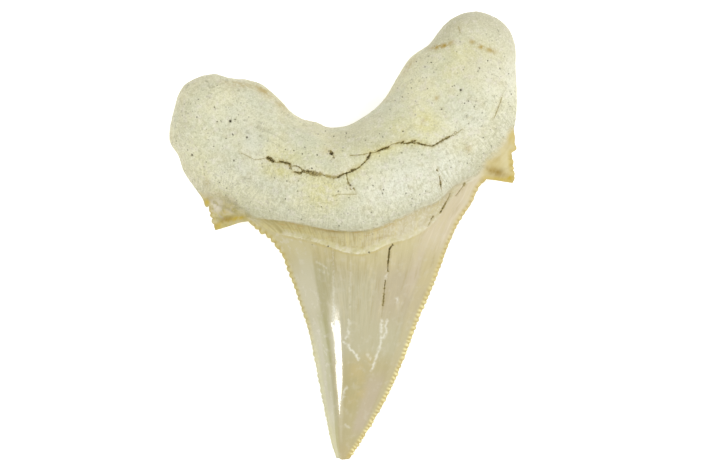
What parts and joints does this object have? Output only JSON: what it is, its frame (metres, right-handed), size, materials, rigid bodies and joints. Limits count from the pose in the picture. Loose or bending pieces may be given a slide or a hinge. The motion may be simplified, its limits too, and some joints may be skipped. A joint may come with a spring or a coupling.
{
  "type": "fossil shark tooth",
  "caption": "Fossil shark tooth lying flat: arched root with rounded lobes, triangular serrated crown and small side cusplets.",
  "frame": {"origin": "middle of the tooth's outline, on the surface that its labial face lies on", "axes": "+Y from the tip to the root, +Z out of the lingual face, which is up; +X is to the right when looking down on it with the root away from the viewer"},
  "size_m": [0.0486, 0.0628, 0.0134],
  "materials": {
    "fossil": "matt chalky root, polished enamel crown"
  },
  "bodies": {
    "root": {"tooth": "fossil"}
  },
  "joints": []
}
